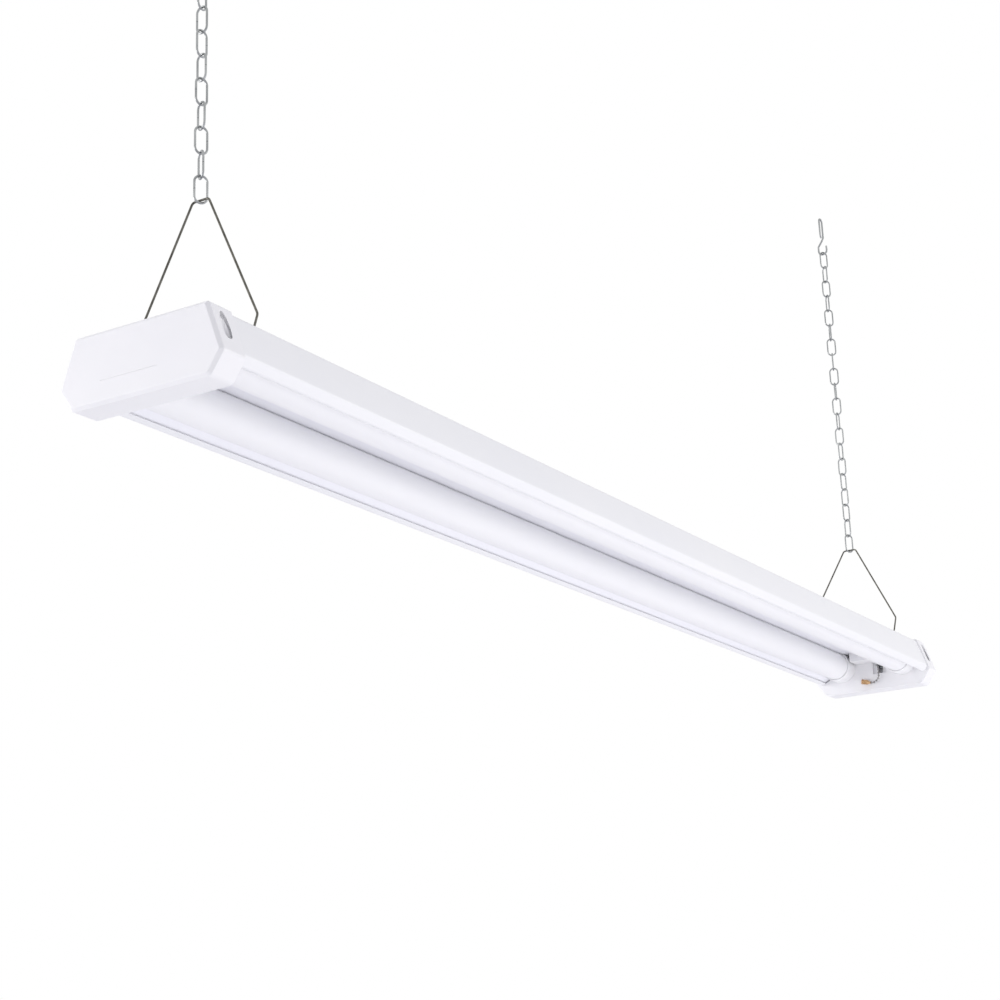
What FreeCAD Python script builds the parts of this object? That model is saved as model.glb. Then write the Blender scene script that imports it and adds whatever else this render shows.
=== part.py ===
import FreeCAD, Part
import math
import os

# A four-foot shop light on two chains.  Millimetres.  X runs along the light, +X to the
# switch end; Y across it; +Z up.  The origin is midway between the eyes of the two ceiling
# hooks, at the height where the eyes bear.  "near" is the -X end, "far" the +X end,
# "left" the +Y side and "right" the -Y side.  Heights written as drops are measured down
# from the top face of the end caps.

# ---- driving dimensions -------------------------------------------------------------
light_length = 1219.0          # over the outer faces of both end caps

cap_depth = 22.5               # outer face to rim
cap_height = 49.0
cap_top_half = 53.5            # half width at the top
cap_wide_half = 65.5           # half width at the widest line
cap_wide_drop = 34.0
cap_low_half = 55.0            # half width of the underside
cap_wall = 1.6
cap_face_wall = 2.4
cap_edge = 2.2                 # bevel round the outer face
cap_fit = 0.2                  # cap over shell
cap_corner_radii = (2.6, 3.0, 5.0)   # top, widest, underside

shell_sheet = 0.8
shell_turn_drop = 31.0         # where the side turns in to the lip
lip_half = 58.8
lip_drop = 36.4
lip_return = 4.4               # width of the flange folded in from the lip
lip_slope = 29.4               # degrees below horizontal, flange and wing
shell_bends = (1.5, 2.0, 4.0)  # outer radii: lip, side, top
frame_insert = 5.0             # shell and tray reach this far into each cap

tray_sheet = 0.8
tray_bend = 1.2
tray_drop = 9.0                # underside of the flat that carries the boards
spine_half = 8.5
spine_drop = 13.2
bay_half = 51.3
bay_wall_drop = 24.5
knee_half = 47.9
wing_half = 57.0
seat_gap = 0.1                 # between parts that rest on each other

tube_half_spacing = 35.2       # centre of each diffuser from the middle
tube_radius = 14.7
tube_cut = 0.782               # share of the radius that stands below the cut-off top
tube_wall = 1.3
tube_mouth_gap = 0.3           # below the tray
foot_width = 1.6               # feet turned in along the mouth
foot_thickness = 1.2
socket_depth = 15.0
socket_wall = 1.2
socket_reach = 19.0            # socket stands in from the rim by this
socket_fit = 0.15

board_margin = 0.5             # from the board's edge to the hook tabs
board_thickness = 1.0
board_end_gap = 12.0           # board ends this far short of the sockets
chip_size = (3.0, 3.5, 0.7)
chip_pitch = 25.0
screw_radius = 1.5
screw_fit = 0.05
screw_head_radius = 2.6
screw_head_height = 1.6
board_screw_pitch = 250.0
hook_tab_pitch = 150.0
hook_tab_length = 18.0
hook_tab_sheet = 0.7
hook_tab_gap = 0.4             # to the diffuser's foot

block_half = 17.5              # block between the sockets
block_drop = 19.0

pocket_radius = 4.0            # screw pockets in the caps' sides
pocket_half = 59.0
pocket_in = 11.5               # centre from the outer face
pocket_floor_drop = 24.0
pocket_wall = 1.3
ear_sheet = 0.8
ear_gap = 0.1

chain_inset = 57.5             # chains, from the ends of the light
hanger_insets = (51.5, 75.5)   # hangers' feet, near and far, from the ends of the light
hanger_wire = 1.6
hanger_bend_half = 51.0
hanger_foot_half = 48.5
hanger_foot_length = 11.0
hanger_flat_half = 6.7
hanger_legs = (8.0, 15.0)      # bends above the cap top, near and far
apex = 101.35                  # hangers' flat tops above the cap top
bridge_sheet = 0.7
bridge_length = 6.0
bridge_fit = 0.1

link_wire = 1.6
link_crowns = 19.55            # between crown centre lines
link_width = 8.7               # between leg centre lines
link_gap = 0.15                # between neighbouring links of one run
joint_gap = 0.3                # between pieces that move on each other
link_turn = 145.0              # plan angle of the lowest link's plane
link_slit = 0.3
run_links = 18                 # between the top link and the end link

s_hook_wire = 2.2
s_hook_rise = 42.7             # lower bend centre to the eye's bearing point
s_hook_bend = 5.0
s_hook_eye_width = 8.2         # between centre lines

switch_size = (14.0, 21.0, 18.5)
switch_drop = 17.5
chain_side = -8.7              # pull chain, from the middle
chain_in = 4.0                 # pull chain, in from the cap rim
lever_drop = 23.5
lever_size = (4.6, 0.7)        # width and thickness
lever_slot = (2.6, 1.4)        # the chain's slot, along and across
lever_pivot_in = 8.0           # pivot behind the rim
lever_pin = 0.9
lever_fit = 0.05
lever_hub = 2.0
switch_slot = 6.4
port_size = (15.0, 12.8)       # opening in the far cap for the lever
port_drop = 19.2
bead_radius = 1.2
bead_pitch = 3.2
bead_wire = 0.35
bell_length = 9.6
bell_radii = (1.5, 2.6, 2.9)

inlet_side = 24.0
inlet_drop = 27.0
inlet_bore = 4.0
inlet_neck = 7.0
inlet_flange = 9.0
inlet_flange_thickness = 1.8
inlet_snap = 1.5
inlet_fit = 0.1

driver_length = 190.0
driver_width = 14.0
driver_height = 9.0
driver_wall = 0.7
driver_gap = 38.0              # from the driver to the terminal block
driver_board_thickness = 1.2

terminal_size = (26.0, 13.0, 8.6)
terminal_inset = 131.5         # its near end, from the end of the light
lead_radius = 0.85
lead_hole_radius = 2.7
lead_hole_gap = 6.0            # from the end of a board
lead_spread = 1.3              # half the spacing of a pair of leads

# ---- derived places -----------------------------------------------------------------
half_length = light_length / 2
rim_x = half_length - cap_depth
frame_end = rim_x + frame_insert
socket_x = rim_x - socket_reach
tray_top_drop = tray_drop - tray_sheet
tube_drop = tray_drop + tube_mouth_gap + tube_cut * tube_radius
chain_x = half_length - chain_inset
feet_x = (hanger_insets[0] - half_length, half_length - hanger_insets[1])
terminal_x = half_length - terminal_inset
driver_x = terminal_x - driver_gap - driver_length
lip_tangent = math.tan(math.radians(lip_slope))
lip_cosine = math.cos(math.radians(lip_slope))
wing_rise = (shell_sheet + seat_gap) / lip_cosine
foot_drop = -(hanger_wire / 2 + bridge_fit) + cap_wall + cap_fit
link_step = 90 + 90 / (run_links + 1)
link_pitch = link_crowns - link_wire - link_gap
joint_pitch = link_crowns - link_wire - joint_gap
apex_to_crown = (hanger_wire + link_wire) / 2 + joint_gap
hook_to_crown = (s_hook_wire + link_wire) / 2 + joint_gap
chain_length = link_crowns + (run_links - 1) * link_pitch + 2 * joint_pitch
hook_base = apex + chain_length - apex_to_crown - hook_to_crown
light_z = -(hook_base + s_hook_rise)


# ---- shaping helpers ----------------------------------------------------------------
def V(x, y, z):
    return FreeCAD.Vector(x, y, z)


def corner(before, point, after, radius):
    """Start, middle and end of the arc that rounds a corner."""
    back = (before - point).normalize()
    ahead = (after - point).normalize()
    half = back.getAngle(ahead) / 2
    reach = radius / math.tan(half)
    inward = (back + ahead).normalize()
    middle = point + inward * (radius / math.sin(half) - radius)
    return point + back * reach, middle, point + ahead * reach


def joined(stretches):
    """Edges through (start, middle, end) stretches; a stretch of one point is sharp."""
    edges = []
    last = None
    for start, middle, end in stretches:
        if last is not None and (start - last).Length > 1e-6:
            edges.append(Part.LineSegment(last, start).toShape())
        if middle is not None:
            edges.append(Part.Arc(start, middle, end).toShape())
        last = end
    return edges


def outline(points, radii):
    """Closed face in the YZ plane from (y, z) corners, each with its own radius."""
    corners = [V(0, y, z) for y, z in points]
    stretches = []
    for i, point in enumerate(corners):
        if radii[i] == 0:
            stretches.append((point, None, point))
        else:
            ahead = corners[(i + 1) % len(corners)]
            stretches.append(corner(corners[i - 1], point, ahead, radii[i]))
    stretches.append(stretches[0])
    edges = joined(stretches)
    if stretches[0][1] is not None:
        edges.pop()
    return Part.Face(Part.Wire(edges))


def parallel(points, distance):
    """An open run of (y, z) corners moved to the left of its direction, mitred."""
    moved = []
    for i, (y, z) in enumerate(points):
        before = points[max(i - 1, 0)]
        after = points[min(i + 1, len(points) - 1)]
        ins = (y - before[0], z - before[1])
        outs = (after[0] - y, after[1] - z)
        if i == 0:
            ins = outs
        if i == len(points) - 1:
            outs = ins
        in_normal = unit_left(ins)
        out_normal = unit_left(outs)
        share = 1 + in_normal[0] * out_normal[0] + in_normal[1] * out_normal[1]
        step_y = distance * (in_normal[0] + out_normal[0]) / share
        step_z = distance * (in_normal[1] + out_normal[1]) / share
        moved.append((y + step_y, z + step_z))
    return moved


def unit_left(direction):
    length = math.hypot(direction[0], direction[1])
    return -direction[1] / length, direction[0] / length


def mirrored(half):
    """A run given from the middle to the +Y side, completed on the -Y side."""
    return [(-y, z) for y, z in reversed(half)] + list(half)


def folded(points, thickness, bends):
    """Section of a folded sheet: the run and its parallel, with outer bend radii."""
    other = parallel(points, thickness)
    other.reverse()
    radii = []
    for run, sizes in ((points, bends), (other, list(reversed(bends)))):
        radii.append(0)
        for i, bend in enumerate(sizes):
            outer = turning(run[i], run[i + 1], run[i + 2]) * thickness > 0
            radii.append(bend if outer else bend - abs(thickness))
        radii.append(0)
    return list(points) + other, radii


def turning(before, point, after):
    first = (point[0] - before[0], point[1] - before[1])
    second = (after[0] - point[0], after[1] - point[1])
    return first[0] * second[1] - first[1] * second[0]


def prism(face, x0, x1):
    solid = face.extrude(V(x1 - x0, 0, 0))
    solid.translate(V(x0, 0, 0))
    return solid


def box(x0, x1, y0, y1, z0, z1):
    """Box between two corners, given in any order."""
    low = V(min(x0, x1), min(y0, y1), min(z0, z1))
    return Part.makeBox(abs(x1 - x0), abs(y1 - y0), abs(z1 - z0), low)


def rod(points, radii, wire):
    """Round wire bent through the points, each inner corner with its own radius."""
    stretches = [(points[0], None, points[0])]
    for i in range(1, len(points) - 1):
        stretches.append(corner(points[i - 1], points[i], points[i + 1], radii[i - 1]))
    stretches.append((points[-1], None, points[-1]))
    path = Part.Wire(joined(stretches))
    along = (points[1] - points[0]).normalize()
    ring = Part.Wire(Part.Circle(points[0], along, wire / 2).toShape())
    return path.makePipeShell([ring], True, False)


def grouped(solids):
    return solids[0] if len(solids) == 1 else Part.makeCompound(solids)


def flipped(shape):
    """The same piece for the other end of the light."""
    return shape.mirror(V(0, 0, 0), V(1, 0, 0))


def other_side(shape):
    return shape.mirror(V(0, 0, 0), V(0, 1, 0))


def save(name, shape):
    """Write one node, moved from the light's own heights to the hook line's."""
    placed = shape.copy()
    placed.translate(V(0, 0, light_z))
    placed.exportStep("parts/" + name + ".step")


# ---- sections -----------------------------------------------------------------------
def cap_section(inset):
    """The cap's outline, set in all round."""
    half = [(cap_top_half, 0), (cap_wide_half, -cap_wide_drop), (cap_low_half, -cap_height)]
    ring = mirrored(half)
    ring = ring[3:] + ring[:3]
    closed = [ring[-1]] + ring + [ring[0]]
    moved = parallel(closed, -inset)[1:-1]
    radii = [max(r - inset, 0.3) for r in cap_corner_radii]
    return moved, radii + list(reversed(radii))


def side_at(drop):
    """Half width of the shell's side at a drop below the cap top."""
    slope = (cap_wide_half - cap_top_half) / cap_wide_drop
    inset = (cap_wall + cap_fit) * math.hypot(1, slope)
    return cap_top_half + slope * drop - inset


def shell_run():
    """Outside of the shell from the middle of the top to the end of the flange."""
    top = cap_wall + cap_fit
    return [
        (side_at(top), -top),
        (side_at(shell_turn_drop), -shell_turn_drop),
        (lip_half, -lip_drop),
        (lip_half - lip_return * lip_cosine, -lip_drop + lip_return * lip_cosine * lip_tangent),
    ]


def wing_z(half):
    """Visible underside of the wing, lying on the shell's flange."""
    return -lip_drop + wing_rise + (lip_half - half) * lip_tangent


def tray_run():
    """Visible underside of the tray from the spine to the edge of the wing."""
    return [
        (spine_half, -spine_drop),
        (spine_half, -tray_drop),
        (bay_half, -tray_drop),
        (bay_half, -bay_wall_drop),
        (knee_half, wing_z(knee_half)),
        (wing_half, wing_z(wing_half)),
    ]


def frame_envelope():
    """All that lies above the tray and inside the shell, grown by the cap's fit."""
    under = tray_run()[:-1] + list(reversed(shell_run()[1:]))
    under = parallel(under, -cap_fit)
    above = [(cap_wide_half * 2, -shell_turn_drop), (cap_wide_half * 2, cap_height)]
    ring = mirrored(under + above)
    return outline(ring, [0] * len(ring))


# ---- housing ------------------------------------------------------------------------
def bridge(side_y):
    """A loop lanced up from the shell's top, which holds one foot of a hanger."""
    foot_z = -foot_drop
    inner = hanger_wire / 2 + bridge_fit
    outer = inner + bridge_sheet
    low = -(cap_wall + cap_fit) - shell_sheet / 2
    start = side_y - bridge_length / 2
    arch = Part.makeCylinder(outer, bridge_length, V(0, start, foot_z), V(0, 1, 0))
    legs = box(-outer, outer, start, start + bridge_length, low, foot_z)
    loop = arch.fuse(legs)
    bore = Part.makeCylinder(inner, bridge_length, V(0, start, foot_z), V(0, 1, 0))
    gap = box(-inner, inner, start, start + bridge_length, low, foot_z)
    flat = box(-outer, outer, start, start + bridge_length, low, -(cap_wall + cap_fit))
    return loop.cut(bore).cut(gap).fuse(flat)


def housing_shell():
    bends = shell_bends + tuple(reversed(shell_bends))
    section, radii = folded(mirrored(shell_run()), -shell_sheet, bends)
    shell = prism(outline(section, radii), -frame_end, frame_end)
    middle = hanger_foot_half - hanger_foot_length / 2
    for x in feet_x:
        for y in (-middle, middle):
            loop = bridge(y)
            loop.translate(V(x, 0, 0))
            shell = shell.fuse(loop)
    return shell.removeSplitter()


def hook_tab(tube_y, side, x):
    """A small hook lanced down from the tray that holds one foot of a diffuser."""
    mouth = -tray_drop - tube_mouth_gap
    foot_in = mouth_half() - foot_width
    leg_out = tube_y + side * (foot_in - hook_tab_gap)
    leg_in = leg_out - side * hook_tab_sheet
    low = mouth - foot_thickness - 0.2 - hook_tab_sheet
    x0 = x - hook_tab_length / 2
    x1 = x + hook_tab_length / 2
    leg = box(x0, x1, leg_in, leg_out, low, -tray_top_drop)
    toe = box(x0, x1, leg_in, leg_out + side * 1.1, low, low + hook_tab_sheet)
    return leg.fuse(toe)


def ear():
    """A tab at a corner of the tray that takes a cap screw."""
    x = half_length - pocket_in
    top = -(pocket_floor_drop + pocket_wall + ear_gap)
    low = top - ear_sheet
    inside = box(rim_x - 3, x, bay_half - tray_sheet / 2, pocket_half - 1, low, top)
    outside = box(frame_end + cap_fit, x + 4, bay_half + cap_fit, pocket_half + 1.4, low, top)
    hole = Part.makeCylinder(screw_radius + screw_fit, ear_sheet * 3,
                             V(x, pocket_half, top - ear_sheet * 2))
    return inside.fuse(outside).cut(hole)


def reflector_tray():
    run = mirrored(tray_run())
    section, radii = folded(run, tray_sheet, [tray_bend] * (len(run) - 2))
    tray = prism(outline(section, radii), -frame_end, frame_end)
    steps = 2 * int((board_end() + hook_tab_pitch / 2) / hook_tab_pitch)
    tabs = []
    for k in range(steps):
        x = (k - (steps - 1) / 2) * hook_tab_pitch
        for tube_y in (-tube_half_spacing, tube_half_spacing):
            for side in (-1, 1):
                tabs.append(hook_tab(tube_y, side, x))
    tray = tray.fuse(tabs)
    ears = [ear(), other_side(ear()), flipped(ear()), other_side(flipped(ear()))]
    tray = tray.fuse(ears)
    holes = []
    x_hole, y_hole = lead_hole()
    for side in (-1, 1):
        y = side * tube_half_spacing
        for x in board_screw_places():
            holes.append(Part.makeCylinder(screw_radius + screw_fit, 4, V(x, y, -tray_drop - 2)))
        holes.append(Part.makeCylinder(lead_hole_radius, 4,
                                       V(x_hole, side * y_hole, -tray_drop - 2)))
    return tray.cut(holes)


# ---- light sources ------------------------------------------------------------------
def board_end():
    return socket_x - board_end_gap


def lead_hole():
    """Where the leads pass down through the tray, beyond the end of the board."""
    between = (screw_radius + mouth_half() - foot_width) / 2
    return board_end() + lead_hole_gap, tube_half_spacing - between


def board_screw_places():
    count = int((board_end() - 20) / board_screw_pitch)
    return [k * board_screw_pitch for k in range(-count, count + 1)]


def led_board():
    y = tube_half_spacing
    half = mouth_half() - foot_width - hook_tab_gap - hook_tab_sheet - board_margin
    top = -tray_drop
    board = box(-board_end(), board_end(), y - half, y + half, top - board_thickness, top)
    holes = [Part.makeCylinder(screw_radius + screw_fit, 4, V(x, y, top - 3))
             for x in board_screw_places()]
    return board.cut(holes)


def led_chips():
    length, width, height = chip_size
    low = -tray_drop - board_thickness - height
    chips = []
    count = 2 * int(board_end() / chip_pitch)
    for k in range(count):
        x = (k - (count - 1) / 2) * chip_pitch
        y = tube_half_spacing
        chips.append(box(x - length / 2, x + length / 2, y - width / 2, y + width / 2,
                         low, low + height))
    return grouped(chips)


def board_screws():
    screws = []
    seat = -tray_drop - board_thickness
    for y in (-tube_half_spacing, tube_half_spacing):
        for x in board_screw_places():
            shank = Part.makeCylinder(screw_radius, tray_sheet + board_thickness + 2, V(x, y, seat))
            head = Part.makeCylinder(screw_head_radius, screw_head_height,
                                     V(x, y, seat - screw_head_height))
            screws.append(shank.fuse(head).removeSplitter())
    return grouped(screws)


def mouth_half():
    """Half the width of the diffuser at its open top."""
    drop = tube_drop - tray_drop - tube_mouth_gap
    return math.sqrt(tube_radius ** 2 - drop ** 2)


def diffuser():
    """A tube of frosted plastic, cut off along the top, its edges turned in as feet."""
    end = socket_x + socket_depth - 0.5
    top = -tray_drop - tube_mouth_gap
    start = V(-end, tube_half_spacing, -tube_drop)
    outer = Part.makeCylinder(tube_radius, 2 * end, start, V(1, 0, 0))
    inner = Part.makeCylinder(tube_radius - tube_wall, 2 * end, start, V(1, 0, 0))
    wide = tube_radius * 2
    y = tube_half_spacing
    shell = outer.cut(inner).cut(box(-end, end, y - wide, y + wide, top, top + wide))
    reach = mouth_half()
    band = box(-end, end, y - wide, y + wide, top - foot_thickness, top).common(outer)
    slot = box(-end, end, y - reach + foot_width, y + reach - foot_width, -tube_drop, top)
    return shell.fuse(band).cut(slot).removeSplitter()


# ---- end caps -----------------------------------------------------------------------
def screw_pocket():
    x = half_length - pocket_in
    low = -(pocket_floor_drop + pocket_wall)
    column = Part.makeCylinder(pocket_radius + pocket_wall, -low, V(x, pocket_half, low))
    hollow = Part.makeCylinder(pocket_radius, cap_height, V(x, pocket_half, -pocket_floor_drop))
    hole = Part.makeCylinder(screw_radius + screw_fit, cap_height, V(x, pocket_half, low - 1))
    return column, hollow.fuse(hole)


def end_cap(pulls):
    """Moulded cap for the far end; with the port and cord hole where pulls is true."""
    points, radii = cap_section(0)
    body = prism(outline(points, radii), rim_x, half_length - cap_edge)
    rings = []
    for inset, x in ((0, half_length - cap_edge), (cap_edge, half_length)):
        points, radii = cap_section(inset)
        ring = outline(points, radii).OuterWire
        ring.translate(V(x, 0, 0))
        rings.append(ring)
    solid = body.fuse(Part.makeLoft(rings, True, True)).removeSplitter()
    skin = solid.copy()
    points, radii = cap_section(cap_wall)
    hollow = prism(outline(points, radii), rim_x, half_length - cap_face_wall)
    solid = solid.cut(hollow)
    if pulls:
        inlet = Part.makeCylinder(inlet_neck + inlet_fit, cap_face_wall + 2,
                                  V(half_length - cap_face_wall - 1, inlet_side, -inlet_drop),
                                  V(1, 0, 0))
        solid = solid.cut(inlet)
    wall = prism(outline(points, radii), rim_x, rim_x + cap_face_wall)
    sockets = []
    bores = []
    for y in (-tube_half_spacing, tube_half_spacing):
        place = V(socket_x, y, -tube_drop)
        outside = tube_radius + socket_fit + socket_wall
        sockets.append(Part.makeCylinder(outside, socket_reach, place, V(1, 0, 0)))
        bores.append(Part.makeCylinder(tube_radius + socket_fit, socket_depth, place, V(1, 0, 0)))
    block = box(socket_x, rim_x, -block_half, block_half, -block_drop, 0)
    inner = wall.fuse(sockets + [block]).cut(prism(frame_envelope(), socket_x, half_length))
    inner = inner.cut(bores)
    columns = []
    hollows = []
    for mirror in (False, True):
        column, hollow = screw_pocket()
        if mirror:
            column, hollow = other_side(column), other_side(hollow)
        columns.append(column.common(skin))
        hollows.append(hollow)
    solid = solid.fuse([inner] + columns).cut(hollows)
    if pulls:
        width, height = port_size
        port = box(rim_x - 1, rim_x + cap_face_wall + 1, chain_side - width / 2,
                   chain_side + width / 2, -port_drop - height, -port_drop)
        low = -switch_drop - switch_size[2] - seat_gap
        ledge = box(rim_x + cap_face_wall / 2, rim_x + switch_size[0],
                    chain_side - 8, chain_side + 8, low - cap_wall, low)
        solid = solid.fuse(ledge).cut(port)
    return solid.removeSplitter()


def cap_screws():
    x = half_length - pocket_in
    seat = -pocket_floor_drop
    shank = Part.makeCylinder(screw_radius, 9, V(x, pocket_half, seat - 9))
    head = Part.makeCylinder(screw_head_radius, screw_head_height, V(x, pocket_half, seat))
    screw = shank.fuse(head).removeSplitter()
    side = other_side(screw)
    return grouped([screw, side, flipped(screw), flipped(side)])


def cord_inlet_bush():
    """Flanged bush snapped into the far cap's face; its bore is where a cord goes in."""
    inner_end = half_length - cap_face_wall - inlet_fit - inlet_snap
    total = half_length + inlet_flange_thickness - inner_end
    place = V(inner_end, inlet_side, -inlet_drop)
    neck = Part.makeCylinder(inlet_neck, total, place, V(1, 0, 0))
    flange = Part.makeCylinder(inlet_flange, inlet_flange_thickness,
                               V(half_length, inlet_side, -inlet_drop), V(1, 0, 0))
    snap = Part.makeCylinder(inlet_neck + 0.8, inlet_snap, place, V(1, 0, 0))
    bore = Part.makeCylinder(inlet_bore, total, place, V(1, 0, 0))
    return neck.fuse([flange, snap]).cut(bore).removeSplitter()


# ---- pull switch --------------------------------------------------------------------
def lever_pivot():
    return V(rim_x + lever_pivot_in, chain_side, -lever_drop)


def switch_body():
    length, width, height = switch_size
    x0 = rim_x + cap_face_wall + seat_gap
    body = box(x0, x0 + length, chain_side - width / 2, chain_side + width / 2,
               -switch_drop - height, -switch_drop)
    pivot = lever_pivot()
    slot = box(x0, pivot.x + lever_hub + 0.5, chain_side - switch_slot / 2,
               chain_side + switch_slot / 2, pivot.z - 7.5, pivot.z + lever_hub + 0.5)
    pin = Part.makeCylinder(lever_pin, switch_slot + 2,
                            V(pivot.x, chain_side - switch_slot / 2 - 1, pivot.z), V(0, 1, 0))
    return body.cut(slot).fuse(pin)


def pull_lever():
    width, thickness = lever_size
    pivot = lever_pivot()
    tip_x = rim_x - chain_in - lever_slot[0]
    arm = box(tip_x, pivot.x, chain_side - width / 2, chain_side + width / 2,
              pivot.z - thickness / 2, pivot.z + thickness / 2)
    hub = Part.makeCylinder(lever_hub, width + 1,
                            V(pivot.x, chain_side - (width + 1) / 2, pivot.z), V(0, 1, 0))
    bore = Part.makeCylinder(lever_pin + lever_fit, width + 1,
                             V(pivot.x, chain_side - (width + 1) / 2, pivot.z), V(0, 1, 0))
    along_x, across = lever_slot
    slot = box(rim_x - chain_in - along_x / 2, rim_x - chain_in + along_x / 2,
               chain_side - across / 2, chain_side + across / 2,
               pivot.z - thickness, pivot.z + thickness)
    return arm.fuse(hub).cut(bore).cut(slot).removeSplitter()


def chain_pivot():
    """Centre of the top bead, which rests on the edges of the lever's slot."""
    sink = math.sqrt(bead_radius ** 2 - (lever_slot[1] / 2) ** 2)
    return V(rim_x - chain_in, chain_side, -lever_drop + lever_size[1] / 2 + sink)


def chain_route():
    """Hand-set line of the pull chain, which curls to the left at its end."""
    x = rim_x - chain_in
    return [chain_pivot(), V(x, chain_side, -35.5), V(x, -7.4, -39.0),
            V(x, -3.6, -41.6), V(x, 0.6, -41.9)]


def along(points, distance):
    """Point at a distance along straight stretches."""
    for start, end in zip(points, points[1:]):
        step = (end - start).Length
        if distance <= step:
            return start + (end - start) * (distance / step)
        distance -= step
    return points[-1]


def bead_centres():
    route = chain_route()
    total = sum((b - a).Length for a, b in zip(route, route[1:]))
    count = int(total / bead_pitch) + 1
    return [along(route, k * bead_pitch) for k in range(count)]


def beads(centres):
    """Ball chain: beads threaded on short wires."""
    pieces = [Part.makeSphere(bead_radius, c) for c in centres]
    for a, b in zip(centres, centres[1:]):
        pieces.append(Part.makeCylinder(bead_wire, (b - a).Length, a, b - a))
    return pieces[0].fuse(pieces[1:])


def pull_chain_top():
    """The bead that rests on the lever and the one under it."""
    return beads(bead_centres()[:2]).removeSplitter()


def pull_chain():
    """The rest of the chain, its first wire ending just short of the bead above."""
    above, first = bead_centres()[1:3]
    start = above + (first - above).normalize() * (bead_radius + joint_gap)
    wire = Part.makeCylinder(bead_wire, (first - start).Length, start, first - start)
    return beads(bead_centres()[2:]).fuse(wire).removeSplitter()


def pull_bell():
    """Brass bell on the chain's end, open at its wide end."""
    neck, shoulder, mouth = bell_radii
    length = bell_length
    profile = [(0, 0), (neck, 0), (neck, 1.6), (shoulder, 3.4), (shoulder, length - 1.4),
               (mouth, length), (mouth - 0.5, length), (shoulder - 0.6, length - 1.6),
               (shoulder - 0.6, 4.6), (0, 4.6), (0, 0)]
    wire = Part.makePolygon([V(r, 0, z) for r, z in profile])
    bell = Part.Face(wire).revolve(V(0, 0, 0), V(0, 0, 1), 360)
    end = bead_centres()[-1]
    lean = V(0, 9.4, 2.3).normalize()
    start = end + lean * (bead_radius + seat_gap)
    bell.Placement = FreeCAD.Placement(start, FreeCAD.Rotation(V(0, 0, 1), lean))
    return bell


# ---- driver and wiring --------------------------------------------------------------
def spine_floor():
    return -(spine_drop - tray_sheet)


def driver_case():
    low = spine_floor()
    half = driver_width / 2
    x1 = driver_x + driver_length
    outside = box(driver_x, x1, -half, half, low, low + driver_height)
    inside = box(driver_x + driver_wall, x1 - driver_wall, -half + driver_wall,
                 half - driver_wall, low + driver_wall, low + driver_height)
    return outside.cut(inside)


def driver_board():
    half = driver_width / 2 - driver_wall - seat_gap
    low = spine_floor() + driver_wall
    x0 = driver_x + driver_wall + seat_gap
    x1 = driver_x + driver_length - driver_wall - seat_gap
    return box(x0, x1, -half, half, low, low + driver_board_thickness)


def driver_parts():
    """Transformer, capacitors, choke and bridge on the driver board."""
    top = spine_floor() + driver_wall + driver_board_thickness
    x = driver_x
    parts = [
        box(x + 95, x + 112, -6, 6, top, top + 6.6),
        box(x + 60, x + 70, -5.5, 5.5, top, top + 5.5),
        box(x + 128, x + 136, -4, 4, top, top + 2.4),
        box(x + 40, x + 47, -3.5, 3.5, top, top + 2.2),
        Part.makeCylinder(3.2, 18, V(x + 146, 0, top + 3.2), V(1, 0, 0)),
        Part.makeCylinder(3.0, 11, V(x + 78, 0, top + 3.0), V(1, 0, 0)),
        Part.makeCylinder(2.0, 12, V(x + 18, -2, top + 2.0), V(1, 0, 0)),
    ]
    return grouped(parts)


def terminal_block():
    length, width, height = terminal_size
    low = spine_floor()
    block = box(terminal_x, terminal_x + length, -width / 2, width / 2, low, low + height)
    wells = []
    for k in range(3):
        y = (k - 1) * 4.0
        wells.append(Part.makeCylinder(1.4, height, V(terminal_x + 6, y, low + 4)))
        wells.append(Part.makeCylinder(1.4, height, V(terminal_x + length - 6, y, low + 4)))
    return block.cut(wells)


def earth_screw():
    """Earth screw through the tray with its ring tag."""
    x, y = terminal_x + terminal_size[0] + 12, 15.0
    seat = -tray_top_drop
    tag = Part.makeCylinder(3.6, 0.6, V(x, y, seat)).fuse(box(x - 11, x, y - 1.5, y + 1.5,
                                                              seat, seat + 0.6))
    head = Part.makeCylinder(screw_head_radius, screw_head_height, V(x, y, seat + 0.6))
    return tag.fuse(head).removeSplitter()


def lead(points, bend):
    return rod(points, [bend] * (len(points) - 2), 2 * lead_radius)


def lead_level():
    """Height at which the leads lie between the tray and the shell."""
    return -tray_top_drop + lead_radius + seat_gap


def mains_leads():
    """Supply wires from the cord bush to the terminal block."""
    z = lead_level()
    x_in = half_length - cap_face_wall - inlet_snap - 0.5
    back = rim_x + 14.0
    wires = []
    for k in (-1, 1):
        y = inlet_side + k * 1.6
        end_y = 2.0 + k * 2.0
        wires.append(lead([V(x_in, y, -inlet_drop), V(back, y, -inlet_drop),
                           V(back, y, z), V(rim_x - 40, y, z),
                           V(terminal_x + terminal_size[0] + 25, end_y, z),
                           V(terminal_x + terminal_size[0] + seat_gap, end_y, z)], 3.0))
    return grouped(wires)


def switch_leads():
    """Wires from the switch up and along to the terminal block."""
    z = lead_level()
    low = -switch_drop
    back = rim_x + 10.0
    wires = []
    for k in (-1, 1):
        y = chain_side - 6 + k * 1.6
        end_y = -4.0 + k * 1.4
        wires.append(lead([V(back, y, low + seat_gap), V(back, y, z), V(rim_x - 30, y, z),
                           V(terminal_x + terminal_size[0] + 12, end_y, z),
                           V(terminal_x + terminal_size[0] + seat_gap, end_y, z)], 3.0))
    return grouped(wires)


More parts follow.
